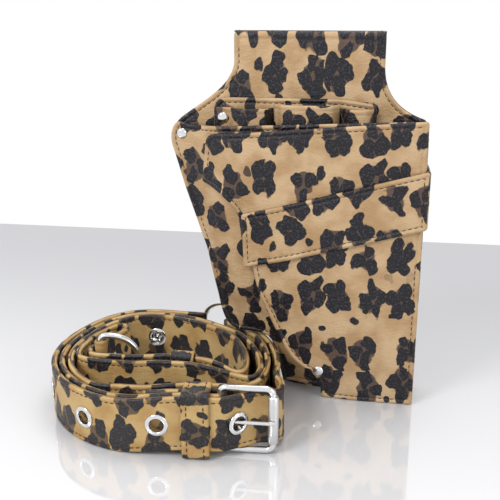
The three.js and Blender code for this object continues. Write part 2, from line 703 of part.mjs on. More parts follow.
// ---------------------------------------------------------------- buckle
// A closed loop of round wire through the corners of a rounded outline in a plane.
function wireLoop(path, radius, sides, frameOf) {
  const rings = path.map((_, i) => {
    const before = path[(i + path.length - 1) % path.length];
    const after = path[(i + 1) % path.length];
    const tangent = after.clone().sub(before).normalize();
    const across = new THREE.Vector3().crossVectors(tangent, frameOf).normalize();
    return Array.from({ length: sides }, (_unused, k) => {
      const turn = 2 * Math.PI * k / sides;
      return path[i].clone()
        .addScaledVector(across, radius * Math.cos(turn))
        .addScaledVector(frameOf, radius * Math.sin(turn));
    });
  });
  return skin(rings, true);
}

const HEEL_NORMAL = new THREE.Vector3(Math.sin(HEEL.turn), -Math.cos(HEEL.turn), 0);
const buckleAxis = (along) => atBuckle(along, 0);

function roundedLoop(length, height, corner) {
  const shape = new THREE.Shape();
  shape.moveTo(corner, 0);
  shape.lineTo(length - corner, 0);
  shape.quadraticCurveTo(length, 0, length, corner);
  shape.lineTo(length, height - corner);
  shape.quadraticCurveTo(length, height, length - corner, height);
  shape.lineTo(corner, height);
  shape.quadraticCurveTo(0, height, 0, height - corner);
  shape.lineTo(0, corner);
  shape.quadraticCurveTo(0, 0, corner, 0);
  return shape.getPoints(3).slice(0, -1);
}

function addBuckle() {
  const { length, height, bar, z } = FRAME;
  const path = roundedLoop(length, height, 3).map((p) => {
    const plan = buckleAxis(p.x);
    return new THREE.Vector3(plan.x, plan.y, z - height / 2 + p.y);
  });
  add('buckle_frame', wireLoop(path, bar, 8, HEEL_NORMAL), chrome);
  const half = ROLLER_LENGTH / 2;
  const tube = [
    [bar + GAP, -half], [ROLLER_RADIUS, -half], [ROLLER_RADIUS, half], [bar + GAP, half], [bar + GAP, -half],
  ].map(([radius, up]) => new THREE.Vector2(radius, up));
  const end = buckleAxis(length);
  const roller = new THREE.LatheGeometry(tube, 20).rotateX(Math.PI / 2);
  add('buckle_roller', roller.translate(end.x, end.y, z), chrome);
  addProng();
}

// The prong: an open hook round the heel bar, and a pin out through the eyelet onto the roller.
function addProng() {
  const { length, bar, z } = FRAME;
  const wire = 1;
  const hook = bar + GAP + 0.2 + wire;
  const route = [];
  for (let angle = -50; angle >= -270; angle -= 27.5) {
    route.push(atBuckle(hook * Math.cos(rad(angle)), hook * Math.sin(rad(angle))));
  }
  const tip = ROLLER_RADIUS + GAP + wire;
  route.push(atBuckle(9.4, hook + 0.5), atBuckle(20, tip + 0.1), atBuckle(length + 1.5, tip + 0.1));
  const points = route.map((p) => new THREE.Vector3(p.x, p.y, z));
  const curve = new THREE.CatmullRomCurve3(points, false, 'centripetal');
  const outline = new THREE.Shape().absarc(0, 0, wire, 0, 2 * Math.PI);
  const prong = new THREE.ExtrudeGeometry(outline, { steps: 26, extrudePath: curve, curveSegments: 8 });
  add('buckle_prong', prong, chrome);
}

// ---------------------------------------------------------------- loops and rings on the belt
// A band of leather standing round the strap: a rectangular ring in the plane across the strap.
function keeperLoop(centre, along, half, bottom, top, width) {
  const wall = 1.7;
  const box = (grow, extra) => {
    const geometry = new THREE.BoxGeometry(width + extra, 2 * (half + grow), top - bottom + 2 * grow);
    geometry.rotateZ(Math.atan2(along.y, along.x));
    return geometry.translate(centre.x, centre.y, (top + bottom) / 2);
  };
  return subtract(box(wall, 0), box(0, 4));
}

function addKeepers() {
  const outer = atBuckle(-12, 2.1);
  const direction = new THREE.Vector3(Math.cos(HEEL.turn), Math.sin(HEEL.turn), 0);
  add('keeper_loop', keeperLoop(outer, direction, 7.1, 2.3, 37.4, 15), print);
  const inner = strapAt(INNER_KEEPER_AT);
  add('inner_keeper_loop', keeperLoop(inner.point, inner.along, 2.3, 1.9, 34.9, 14), print);
}

// Where a D-ring is held: the tab's middle on the strap, the way from the ring to the tab's rivet,
// and the way out from the strap's face.
function ringPlace(distance, away, clearance) {
  const { point, along, normal } = strapAt(distance);
  const toCentre = new THREE.Vector3(COIL.x - point.x, COIL.y - point.y, 0);
  const outward = normal.clone().multiplyScalar(Math.sign(normal.dot(toCentre)) * (away ? -1 : 1));
  const face = point.clone().addScaledVector(outward, STRAP_THICK / 2 + GAP + clearance);
  return { face, along, outward };
}

// The tab: folded round the ring's bar, with both plies lying on the strap beyond it.
const TAB = { ply: 1.5, eye: 2.3, reach: 14.8, height: 31 };
const BAR_OFFSET = TAB.eye + TAB.ply;

function tabOutline({ origin, toRivet, outward }) {
  const at = (w, n) => new THREE.Vector2(
    origin.x + toRivet.x * w + outward.x * n, origin.y + toRivet.y * w + outward.y * n);
  const bend = (radius, from, to) => Array.from({ length: 7 }, (_, i) => {
    const turn = rad(THREE.MathUtils.lerp(from, to, i / 6));
    return at(radius * Math.cos(turn), BAR_OFFSET + radius * Math.sin(turn));
  });
  const flat = 2 * TAB.ply + GAP;
  return new THREE.Shape([
    at(TAB.reach, 0), ...bend(BAR_OFFSET, 270, 90), at(4, BAR_OFFSET + 3), at(9, flat), at(TAB.reach, flat),
    at(TAB.reach, flat - TAB.ply), at(9, flat - TAB.ply), at(4, BAR_OFFSET + 1.5),
    ...bend(TAB.eye, 90, 270), at(TAB.reach, TAB.ply),
  ]);
}

function addRing(name, distance, toRivetSign, away, clearance, openAngle) {
  const { face, along, outward } = ringPlace(distance, away, clearance);
  const toRivet = along.clone().multiplyScalar(toRivetSign);
  const origin = face.clone().addScaledVector(toRivet, -TAB.reach / 2);
  const hole = (geometry) => {
    const turn = new THREE.Quaternion().setFromUnitVectors(new THREE.Vector3(0, 1, 0), outward);
    const centre = origin.clone().addScaledVector(toRivet, 12);
    return geometry.applyQuaternion(turn).translate(centre.x, centre.y, D_RING.z);
  };
  const halfTab = TAB.height / 2;
  const tab = column(tabOutline({ origin, toRivet, outward }), D_RING.z - halfTab, D_RING.z + halfTab);
  const bore = hole(new THREE.CylinderGeometry(RIVET.shank + GAP, RIVET.shank + GAP, 20, 12));
  add(`${name}_tab`, subtract(tab, bore), print);
  const top = 2 * TAB.ply + 2 * GAP;
  const pin = [
    [0, 0.1], [RIVET.shank, 0.1], [RIVET.shank, top], [2.4, top], [2.4, top + 0.5], [1.4, top + 1.1], [0, top + 1.2],
  ].map(([radius, out]) => new THREE.Vector2(radius, out));
  add(`${name}_rivet`, hole(new THREE.LatheGeometry(pin, 16)), chrome);

  const bar = origin.clone().addScaledVector(outward, BAR_OFFSET).setZ(D_RING.z);
  const reachWay = toRivet.clone().negate().applyAxisAngle(new THREE.Vector3(0, 0, 1), rad(openAngle));
  const side = new THREE.Vector3().crossVectors(reachWay, new THREE.Vector3(0, 0, 1));
  const path = dOutline().map((p) => bar.clone()
    .addScaledVector(reachWay, p.x).add(new THREE.Vector3(0, 0, p.y)));
  add(name, wireLoop(path, D_RING.wire, 8, side), chrome);
}

function dOutline() {
  const half = D_RING.bar / 2;
  const round = 3;
  const reach = D_RING.reach;
  const shape = new THREE.Shape();
  shape.moveTo(0, -half + round);
  shape.lineTo(0, half - round);
  shape.quadraticCurveTo(0, half, round, half);
  shape.bezierCurveTo(reach * 1.3, half, reach * 1.3, -half, round, -half);
  shape.quadraticCurveTo(0, -half, 0, -half + round);
  return [new THREE.Vector2(0, -half + round), new THREE.Vector2(0, 0), ...shape.getPoints(8).slice(1, -1)];
}

// ---------------------------------------------------------------- assembly
addBack();
addLoop();
addSleeves();
addPockets();
addBand();
addGussets();
RIVETS.forEach(addRivet);
addStrap();
addEyelets();
addBuckle();
addKeepers();
addRing('back_d_ring', BACK_RING_AT, 1, true, 0, 4);
addRing('inner_d_ring', INNER_RING_AT, -1, false, 0.6, 125);

group.position.set(-BASE_ORIGIN.x, -BASE_ORIGIN.y, 0);

export default group;
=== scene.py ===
"""A hairdresser's shears holster of leopard-print leather, with its coiled and buckled waist belt.

Each leather piece is cut from the outline and depth of the CAD solid that it replaces. It gets
turned edges, a stitch groove, real stitches and a soft swell. The metal is turned or drawn anew
on the CAD's axes.
"""
import json
import math

import bmesh
import bpy
import numpy as np
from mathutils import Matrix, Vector, noise
from mathutils.bvhtree import BVHTree
from mathutils.geometry import delaunay_2d_cdt
from mathutils.kdtree import KDTree


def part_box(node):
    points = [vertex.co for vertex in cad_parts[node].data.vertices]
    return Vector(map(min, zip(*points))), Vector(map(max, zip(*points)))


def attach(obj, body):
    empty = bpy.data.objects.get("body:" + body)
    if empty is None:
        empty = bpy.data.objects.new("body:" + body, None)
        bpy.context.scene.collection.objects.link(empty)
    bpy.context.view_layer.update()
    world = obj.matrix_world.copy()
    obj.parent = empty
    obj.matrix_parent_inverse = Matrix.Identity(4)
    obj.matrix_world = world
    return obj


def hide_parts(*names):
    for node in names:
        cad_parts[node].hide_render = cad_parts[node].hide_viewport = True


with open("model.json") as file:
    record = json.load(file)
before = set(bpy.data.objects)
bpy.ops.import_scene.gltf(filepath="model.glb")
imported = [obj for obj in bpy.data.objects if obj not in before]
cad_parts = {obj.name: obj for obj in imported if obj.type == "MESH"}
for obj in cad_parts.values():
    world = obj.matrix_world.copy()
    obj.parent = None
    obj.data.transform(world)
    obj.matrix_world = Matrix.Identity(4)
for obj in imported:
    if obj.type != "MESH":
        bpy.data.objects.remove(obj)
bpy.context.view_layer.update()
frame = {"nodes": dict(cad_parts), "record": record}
MM = 0.001
JOINTS = {joint["name"]: joint for joint in frame["record"]["behaviour"]["joints"]}
UP = Vector((0, 0, 1))

FRONT = (0, -1, 0)
REAR = (0, 1, 0)
RIGHT = (1, 0, 0)

# Leather, in millimetres: how far in the stitches lie, the beads beside them, and the steps.
SEAM_IN = 2.9
PANEL_RIM = 0.42
STRIP_RIM = 0.3
PANEL_GRID = 2.4
STRIP_FINE = 0.5
BELT_THICK = 3.3
# How far the print on a piece's other side lies from the one on its face.
PANEL_OTHER_SIDE = 60
STRIP_OTHER_SIDE = 70
# The print is drawn out along the second UV axis, across the belt and up the pouch.
STRETCH = (1.2, 0.84)
ROSETTE_SCATTER = 0.42
SPOT_SPACING = 15.0
SPOT_SHIFT = (9.0, 5.0, 0.0)
# A bluish grey, laid on the dark print as painted highlight.
PIT_COLOUR = "7d5d38"
SHEEN_COLOUR = "45434e"

# Stitches and metal, in millimetres.
STITCH_PITCH = 3.5
STITCH_LENGTH = 2.5
STITCH_RADIUS = 0.34
STITCH_SIDES = 6
EYELET_HOLE = 3.9
STRAP_HOLE = 5.1
RING_WIRE = 1.9
BUCKLE_WIRE = 1.8
WIRE_SIDES = 16
LATHE_SIDES = 48

# The studio: degrees for the camera; name, place and size in metres, and watts for each lamp.
CAMERA_DOWN = 17
CAMERA_TURN = 9
LAMPS = (("key", (-0.8, -0.9, 1.1), 0.45, 12.0),
         ("fill", (1.1, -0.7, 0.6), 0.6, 3.0),
         ("top", (0.1, 0.2, 1.3), 0.5, 5.0))


# ---------------------------------------------------------------- materials
class Nodes:
    """A short way to write a material's node graph."""

    def __init__(self, name):
        self.material = bpy.data.materials.new(name)
        self.material.use_nodes = True
        self.tree = self.material.node_tree
        self.shader = self.tree.nodes["Principled BSDF"]

    def put(self, socket, value):
        if isinstance(value, bpy.types.NodeSocket):
            self.tree.links.new(value, socket)
        else:
            socket.default_value = value

    def node(self, kind, inputs=(), **settings):
        made = self.tree.nodes.new(kind)
        for key, value in settings.items():
            setattr(made, key, value)
        for key, value in dict(inputs).items():
            self.put(made.inputs[key], value)
        return made

    def math(self, operation, *values):
        made = self.node("ShaderNodeMath", operation=operation)
        for socket, value in zip(made.inputs, values):
            self.put(socket, value)
        return made.outputs[0]

    def vector(self, operation, *values):
        made = self.node("ShaderNodeVectorMath", operation=operation)
        for socket, value in zip(made.inputs, values):
            self.put(socket, value)
        return made.outputs["Value" if operation in ("LENGTH", "DISTANCE") else "Vector"]

    def scaled(self, vector, scale):
        made = self.node("ShaderNodeVectorMath", operation="SCALE")
        self.put(made.inputs[0], vector)
        self.put(made.inputs["Scale"], scale)
        return made.outputs[0]

    def ramp(self, value, low, high, out_low=0.0, out_high=1.0):
        inputs = {"Value": value, "From Min": low, "From Max": high,
                  "To Min": out_low, "To Max": out_high}
        return self.node("ShaderNodeMapRange", inputs, interpolation_type="SMOOTHSTEP").outputs[0]

    def noise(self, vector, scale, detail=2.0):
        return self.node("ShaderNodeTexNoise", {"Vector": vector, "Scale": scale, "Detail": detail})

    def mix(self, amount, first, second):
        made = self.node("ShaderNodeMix", {0: amount}, data_type="RGBA")
        self.put(made.inputs[6], first)
        self.put(made.inputs[7], second)
        return made.outputs[2]

    def use(self, **inputs):
        for key, value in inputs.items():
            self.put(self.shader.inputs[key.replace("_", " ")], value)
        return self.material


def colour(code):
    """A linear colour from an sRGB hex code."""
    parts = [int(code[i:i + 2], 16) / 255 for i in (0, 2, 4)]
    return [p / 12.92 if p <= 0.04045 else ((p + 0.055) / 1.055) ** 2.4 for p in parts] + [1.0]


def shaded(tint, share):
    return [part * share for part in tint[:3]] + [1.0]


def cells(g, place, spacing, randomness):
    """Scattered cell centres, about `spacing` millimetres apart."""
    return g.node("ShaderNodeTexVoronoi", {"Vector": place, "Scale": 1 / spacing, "Randomness": randomness},
                  voronoi_dimensions="2D")


def rosettes(g, place, ragged, spacing):
    """The masks of the rosettes' dark lobes and of their brown middles."""
    centres = cells(g, place, spacing, ROSETTE_SCATTER)
    away = g.vector("SUBTRACT", place, centres.outputs["Position"])
    away = g.vector("MULTIPLY", away, (1.0, 1.0, 0.0))
    chance = g.node("ShaderNodeSeparateColor", {"Color": centres.outputs["Color"]})
    red, green, blue = chance.outputs[0], chance.outputs[1], chance.outputs[2]
    parts = g.node("ShaderNodeSeparateXYZ", {"Vector": away})
    radius = g.vector("LENGTH", away)
    angle = g.math("ADD", g.math("ARCTAN2", parts.outputs[1], parts.outputs[0]), math.pi)
    angle = g.math("ADD", angle, g.math("MULTIPLY", red, 2 * math.pi))
    # Each rosette has three or four lobes round its middle, of uneven size and length.
    lobes = g.math("FLOOR", g.math("MULTIPLY_ADD", green, 1.9, 3.0))
    sector = g.math("DIVIDE", 2 * math.pi, lobes)
    index = g.math("FLOOR", g.math("DIVIDE", angle, sector))
    folded = g.math("SUBTRACT", g.math("MODULO", angle, sector), g.math("MULTIPLY", sector, 0.5))
    seed = g.node("ShaderNodeCombineXYZ", {0: index, 1: g.math("MULTIPLY", blue, 37.0), 2: red})
    luck = g.node("ShaderNodeTexWhiteNoise", {"Vector": seed.outputs[0]}).outputs["Value"]
    ring = g.math("MULTIPLY_ADD", blue, 1.2, 5.1)
    along = g.math("SUBTRACT", g.math("MULTIPLY", radius, g.math("COSINE", folded)), ring)
    across = g.math("MULTIPLY", radius, g.math("SINE", folded))
    drawn_out = g.math("MULTIPLY_ADD", luck, 0.35, 0.72)
    distance = g.math("SQRT", g.math("ADD", g.math("POWER", g.math("MULTIPLY", along, drawn_out), 2.0),
                                     g.math("POWER", across, 2.0)))
    edge = g.math("MULTIPLY_ADD", ragged, 3.0, -1.5)
    distance = g.math("ADD", distance, edge)
    size = g.ramp(luck, 0.0, 0.9, 3.4, 5.1)
    lobe = g.ramp(g.math("SUBTRACT", distance, size), -0.28, 0.28, 1.0, 0.0)
    reach = g.math("SUBTRACT", g.math("ADD", radius, edge), g.math("MULTIPLY", ring, 1.3))
    return lobe, g.ramp(reach, -0.5, 0.5, 1.0, 0.0)


def loose_spots(g, place, ragged, spacing):
    """The mask of small solid spots, in some of the wide gaps between the rosettes."""
    spots = cells(g, g.vector("ADD", place, SPOT_SHIFT), SPOT_SPACING, 0.8)
    away = g.math("MULTIPLY", spots.outputs["Distance"], SPOT_SPACING)
    centre = g.vector("SUBTRACT", spots.outputs["Position"], SPOT_SHIFT)
    nearest = cells(g, centre, spacing, ROSETTE_SCATTER).outputs["Distance"]
    free = g.ramp(g.math("MULTIPLY", nearest, spacing), 12.8, 13.4)
    edge = g.math("ADD", away, g.math("MULTIPLY_ADD", ragged, 2.4, -1.2))
    return g.math("MULTIPLY", g.ramp(edge, 2.3, 2.9, 1.0, 0.0), free)


def leopard(name, base, light, spot, centre, spacing=22.5):
    """Coated leather printed with rosettes. Its UVs are in millimetres on the flat leather."""
    g = Nodes(name)
    uv = g.node("ShaderNodeTexCoord").outputs["UV"]
    drawn = g.vector("MULTIPLY", uv, (*STRETCH, 1.0))
    wobble = g.noise(uv, 0.09, 1.0).outputs["Color"]
    drift = g.scaled(g.vector("SUBTRACT", wobble, (0.5, 0.5, 0.5)), 9.0)
    place = g.vector("ADD", drawn, drift)
    ragged = g.noise(uv, 0.24, 1.0).outputs["Fac"]
    lobe, middle = rosettes(g, place, ragged, spacing)
    dark = g.math("MAXIMUM", lobe, loose_spots(g, place, ragged, spacing))
    # The ground is mottled, and the dark print gets patches of painted bluish highlight.
    fine = g.noise(uv, 2.6, 3.0).outputs["Fac"]
    mottle = g.noise(uv, 0.05, 3.0).outputs["Fac"]
    ground = g.mix(g.ramp(mottle, 0.35, 0.65), base, light)
    ground = g.mix(g.math("MULTIPLY", g.ramp(fine, 0.5, 0.75), 0.5), ground, colour(PIT_COLOUR))
    brown = g.mix(g.ramp(fine, 0.35, 0.7), centre, shaded(centre, 1.5))
    print_colour = g.mix(middle, ground, brown)
    # This noise places the painted highlight on the dark print, and also raises bumps there.
    sheen_and_bumps = g.noise(uv, 0.8, 4.0).outputs["Fac"]
    spot_with_sheen = g.mix(g.math("MULTIPLY", g.ramp(sheen_and_bumps, 0.5, 0.68), 0.65), spot, colour(SHEEN_COLOUR))
    print_colour = g.mix(dark, print_colour, spot_with_sheen)
    # Heights, in millimetres: grain, fine grain, creases, bumps under the painted highlight and the print's
    # own thickness.
    pebbles = g.node("ShaderNodeTexVoronoi", {"Vector": uv, "Scale": 1.15, "Randomness": 0.9},
                     feature="SMOOTH_F1", voronoi_dimensions="2D").outputs["Distance"]
    creases = g.noise(g.vector("MULTIPLY", uv, (0.8, 1.6, 1.0)), 0.33, 3.0).outputs["Fac"]
    height = g.math("MULTIPLY", g.ramp(pebbles, 0.1, 0.55, 1.0, 0.0), 0.09)
    spot_bumps = g.math("MULTIPLY", sheen_and_bumps, dark)
    for layer, depth in ((fine, 0.09), (creases, 0.42), (spot_bumps, 0.22), (dark, 0.12)):
        height = g.math("ADD", height, g.math("MULTIPLY", layer, depth))
    bump = g.node("ShaderNodeBump", {"Height": height, "Strength": 0.9, "Distance": MM})
    rough = g.math("ADD", g.math("MULTIPLY", fine, 0.16), g.math("MULTIPLY_ADD", dark, -0.06, 0.38))
    return g.use(Base_Color=print_colour, Roughness=rough, Normal=bump.outputs[0], Specular_IOR_Level=0.36)


def metal(name, tint, roughness, brushed):
    """Plated metal with faint polishing marks."""
    g = Nodes(name)
    place = g.node("ShaderNodeTexCoord").outputs["Object"]
    marks = g.noise(g.vector("MULTIPLY", place, (900.0, 900.0, 160.0)), 1.0, 3.0).outputs["Fac"]
    clouds = g.noise(place, 140.0, 2.0).outputs["Fac"]
    cloudy = g.ramp(clouds, 0.3, 0.7, roughness, roughness + 0.08)
    rough = g.math("ADD", g.math("MULTIPLY", marks, brushed), cloudy)
    bump = g.node("ShaderNodeBump", {"Height": marks, "Strength": 0.08, "Distance": 0.05 * MM})
    shade = g.mix(clouds, tint, shaded(tint, 0.86))
    return g.use(Base_Color=shade, Metallic=1.0, Roughness=rough, Normal=bump.outputs[0])


def rough_leather(name, tint):
    """Lining or board, with a fibrous surface."""
    g = Nodes(name)
    place = g.node("ShaderNodeTexCoord").outputs["Object"]
    fibres = g.noise(place, 900.0, 4.0).outputs["Fac"]
    shade = g.mix(fibres, tint, shaded(tint, 2.2))
    bump = g.node("ShaderNodeBump", {"Height": fibres, "Strength": 0.5, "Distance": 0.2 * MM})
    return g.use(Base_Color=shade, Roughness=0.8, Normal=bump.outputs[0])


def thread(name, tint):
    """Waxed thread, twisted."""
    g = Nodes(name)
    place = g.node("ShaderNodeTexCoord").outputs["Object"]
    twist = g.node("ShaderNodeTexWave", {"Vector": place, "Scale": 700.0, "Distortion": 2.0}).outputs["Fac"]
    return g.use(Base_Color=g.mix(twist, tint, shaded(tint, 1.8)), Roughness=0.55)


PRINT = leopard("print_leather", colour("a4845d"), colour("bb9f7b"), colour("100d12"),
                colour("4a3a30"))
BELT_PRINT = leopard("belt_leather", colour("a5814c"), colour("b99c68"), colour("1e1a1a"),
                     colour("544330"), spacing=23.0)
LINING = rough_leather("lining_leather", colour("2a2426"))
BOARD = rough_leather("fibre_board", colour("8c7a62"))
CHROME = metal("chrome_plate", colour("e4e5e7"), 0.08, 0.05)
SATIN = metal("satin_plate", colour("dcdcdc"), 0.24, 0.14)
THREAD = thread("dark_thread", colour("251b14"))
NODE_SLOTS = {part["node"]: part["material_slot"] for part in frame["record"]["subparts"]}
BODIES = frame["record"]["behaviour"]["bodies"]
BODY_OF = {node: body for body, nodes in BODIES.items() for node in nodes}


# ---------------------------------------------------------------- making pieces
def piece(name, vertices, faces, material, node, uvs=None, stands_for=True):
    """A mesh piece that rides on its node's body. Points and UVs are in millimetres."""
    mesh = bpy.data.meshes.new(name)
    mesh.from_pydata([tuple(Vector(v) * MM) for v in vertices], [], faces)
    mesh.validate()
    if uvs is not None:
        layer = mesh.uv_layers.new(name="UVMap")
        for loop in mesh.loops:
            layer.data[loop.index].uv = uvs[loop.vertex_index]
    mesh.materials.append(material)
    mesh.shade_smooth()
    made = bpy.data.objects.new(name, mesh)
    bpy.context.scene.collection.objects.link(made)
    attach(made, BODY_OF[node])
    if stands_for:
        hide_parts(node)
    return made


def welded(node):
    """The CAD node's mesh with its corners joined, in millimetres."""
    mesh = bmesh.new()
    mesh.from_mesh(frame["nodes"][node].data)
    bmesh.ops.scale(mesh, vec=(1000, 1000, 1000), verts=mesh.verts)
    bmesh.ops.remove_doubles(mesh, verts=mesh.verts, dist=0.002)
    bmesh.ops.dissolve_degenerate(mesh, dist=0.001, edges=mesh.edges)
    mesh.normal_update()
    return mesh


def loops_round(faces):
    """The boundary loops of a set of faces as lists of points, the longest first."""
    inside = set(faces)
    following = {}
    for face in faces:
        for loop in face.loops:
            if sum(1 for other in loop.edge.link_faces if other in inside) == 1:
                following.setdefault(loop.vert, []).append(loop.link_loop_next.vert)
    loops = []
    while following:
        start = next(iter(following))
        path, here = [], start
        while here in following:
            path.append(here.co.copy())
            onward = following[here].pop()
            if not following[here]:
                del following[here]
            here = onward
        loops.append(path)
    return sorted(loops, key=lambda path: -length_of(path))


def length_of(path):
    return sum((b - a).length for a, b in zip(path, path[1:]))


def resample(path, spacing, closed=False):
    """Even points along a polyline."""
    points = path + [path[0]] if closed else path
    total = length_of(points)
    count = max(2, round(total / spacing))
    made, walked, at = [], 0.0, 0
    for k in range(count if closed else count + 1):
        target = total * k / count
        while at < len(points) - 2 and walked + (points[at + 1] - points[at]).length < target:
            walked += (points[at + 1] - points[at]).length
            at += 1
        step = points[at + 1] - points[at]
        share = (target - walked) / step.length if step.length else 0
        made.append(points[at] + step * min(1.0, share))
    return made


def eased(path, times, closed=False):
    """The polyline with its facets rounded off."""
    for _ in range(times):
        fresh = list(path)
        for i in range(0 if closed else 1, len(path) - (0 if closed else 1)):
            fresh[i] = (path[i - 1] + path[i] * 2 + path[(i + 1) % len(path)]) / 4
        path = fresh
    return path


# ---------------------------------------------------------------- stitches
# (share of the length, share of the radius, lift in radii) at each ring of a stitch.
STITCH_RINGS = ((-0.5, 0.3, -0.55), (-0.42, 0.75, -0.1), (-0.2, 1.0, 0.35), (0.2, 1.0, 0.35),
                (0.42, 0.75, -0.1), (0.5, 0.3, -0.55))


def stitches(name, runs, node):
    """A row of stitches along each run of (point, normal) pairs."""
    vertices, faces = [], []

    def stitch(centre, along, n):
        side = along.cross(n).normalized()
        first = len(vertices)
        for t, wide, lift in STITCH_RINGS:
            middle = centre + along * (t * STITCH_LENGTH) + n * (lift * STITCH_RADIUS)
            for k in range(STITCH_SIDES):
                turn = 2 * math.pi * k / STITCH_SIDES
                round_it = side * math.cos(turn) + n * math.sin(turn)
                vertices.append(middle + round_it * (STITCH_RADIUS * wide))
        for r in range(len(STITCH_RINGS) - 1):
            for k in range(STITCH_SIDES):
                a = first + r * STITCH_SIDES + k
                b = first + r * STITCH_SIDES + (k + 1) % STITCH_SIDES
                faces.append((a, b, b + STITCH_SIDES, a + STITCH_SIDES))
        faces.append(tuple(range(first + STITCH_SIDES - 1, first - 1, -1)))
        last = first + (len(STITCH_RINGS) - 1) * STITCH_SIDES
        faces.append(tuple(range(last, last + STITCH_SIDES)))

    for run in runs:
        walked = 0.0
        goal = STITCH_PITCH / 2
        for (p, n), (q, _) in zip(run, run[1:]):
            step = (q - p).length
            while step and walked + step >= goal:
                stitch(p.lerp(q, (goal - walked) / step), (q - p).normalized(), n)
                goal += STITCH_PITCH
            walked += step
    return piece(name, vertices, faces, THREAD, node, stands_for=False)


# ---------------------------------------------------------------- flat panels
class Panel:
    """A panel of leather cut to the face of a CAD solid that looks along `facing`."""

    def __init__(self, node, facing, least=0.12):
        self.node = node
        self.out = Vector(facing)
        self.up = UP if abs(self.out.z) < 0.5 else Vector((0, 1, 0))
        self.right = self.up.cross(self.out)
        solid = welded(node)
        front = [face for face in solid.faces if face.normal.dot(self.out) > least]
        outline = loops_round(front)[0]
        self.tree = BVHTree.FromBMesh(solid)
        self.outline = eased(resample([self.flat(p) for p in outline], 1.2, True), 2, True)
        dense = resample(self.outline, 0.3, True)
        self.edge = KDTree(len(dense))
        for i, p in enumerate(dense):
            self.edge.insert(p, i)
        self.edge.balance()
        self.thick = self.measure()

    def flat(self, p):
        return Vector((p.dot(self.right), p.dot(self.up), 0))

    def solid_point(self, p, w):
        return self.right * p.x + self.up * p.y + self.out * w

    def hit(self, p, from_front=True):
        start = self.solid_point(p, 400 if from_front else -400)
        found = self.tree.ray_cast(start, -self.out if from_front else self.out)[0]
        return None if found is None else found.dot(self.out)

    def measure(self):
        middle = sum(self.outline, Vector()) / len(self.outline)
        depths = []
        for p in self.outline[::7]:
            inside = p.lerp(middle, 0.2)
            front, back = self.hit(inside), self.hit(inside, False)
            if front is not None and back is not None:
                depths.append(front - back)
        return sorted(depths)[len(depths) // 2]

    def inward(self, distance):
        """The outline moved in, without the places where it would cross itself."""
        count = len(self.outline)
        around = zip(self.outline, self.outline[1:] + self.outline[:1])
        area = sum(a.x * b.y - b.x * a.y for a, b in around)
        turn = 1 if area > 0 else -1
        moved = []
        for i, p in enumerate(self.outline):
            along = (self.outline[(i + 1) % count] - self.outline[i - 1]).normalized()
            q = p + Vector((-along.y, along.x, 0)) * (turn * distance)
            if self.edge.find(q)[2] > distance * 0.93:
                moved.append(q)
        return moved

    def inside(self, p):
        """Even-odd test against the outline."""
        odd = False
        for a, b in zip(self.outline, self.outline[1:] + self.outline[:1]):
            if (a.y > p.y) != (b.y > p.y):
                crossing = a.x + (p.y - a.y) * (b.x - a.x) / (b.y - a.y)
                odd = odd != (p.x < crossing)
        return odd

    def flat_points(self):
        """The outline, rows along the turned edge and its seam, and a grid over the rest."""
        points = list(self.outline)
        rows = [0.25, 0.6, 1.1, 1.8, 2.4, SEAM_IN, 3.4, 4.2]
        for row in rows:
            points += self.inward(row)
        xs = [p.x for p in self.outline]
        ys = [p.y for p in self.outline]
        y, odd = min(ys), False
        while y < max(ys):
            x = min(xs) + (PANEL_GRID / 2 if odd else 0)
            while x < max(xs):
                p = Vector((x, y, 0))
                if self.edge.find(p)[2] > rows[-1] + 0.7 and self.inside(p):
                    points.append(p)
                x += PANEL_GRID
            y += PANEL_GRID * 0.87
            odd = not odd
        return points

    def build(self, name, material, shift, swell=0.5, wrinkle=0.25, shape=None):
        """Both faces of the panel: the front with its bead, groove, swell and creases."""
        half = self.thick / 2
        points = self.flat_points()
        count = len(self.outline)
        rim_edges = [(i, (i + 1) % count) for i in range(count)]
        flat, _, faces, *_ = delaunay_2d_cdt([p.xy for p in points], rim_edges, [], 1, 1e-5)
        flat = [Vector((p.x, p.y, 0)) for p in flat]
        depth = [self.middle_depth(p, half) for p in flat]
        depth = self.smoothed(depth, faces, len(flat))
        far = [self.edge.find(p)[2] for p in flat]
        vertices, uvs = [], []
        for p, w, d in zip(flat, depth, far):
            lift = self.profile(d, half, PANEL_RIM)
            soft = swell * (1 - math.exp(-max(0.0, d - SEAM_IN) / 9.0))
            place = self.solid_point(p, w)
            crease = wrinkle * noise.noise(place * 0.045) * min(1.0, d / 12)
            crease += 0.06 * noise.noise(place * 0.3)
            vertices.append(self.solid_point(p, w + lift + soft + crease))
            uvs.append((p.x + shift[0], p.y + shift[1]))
        back = {}
        for i, (p, w, d) in enumerate(zip(flat, depth, far)):
            if d < 0.02:
                back[i] = i
            else:
                back[i] = len(vertices)
                vertices.append(self.solid_point(p, w - self.profile(d, half, 0.0)))
                uvs.append((p.x + shift[0] + PANEL_OTHER_SIDE, p.y + shift[1]))
        faces = [tuple(face) for face in faces]
        turned = [tuple(back[i] for i in reversed(face)) for face in faces]
        if shape:
            vertices = [shape(v) for v in vertices]
        piece(name, vertices, faces + turned, material, self.node, uvs)
        self.surface = BVHTree.FromPolygons(vertices, faces)

    def middle_depth(self, p, half):
        """Depth of the leather's middle, measured a little way in where the point is on the edge."""
        nudge = p
        if self.edge.find(p)[2] < 0.6:
            middle = sum(self.outline, Vector()) / len(self.outline)
            for share in (0.004, 0.01, 0.02, 0.04):
                nudge = p.lerp(middle, share)
                if self.inside(nudge) and self.edge.find(nudge)[2] > 0.25:
                    break
        found = self.hit(nudge)
        return None if found is None else found - half

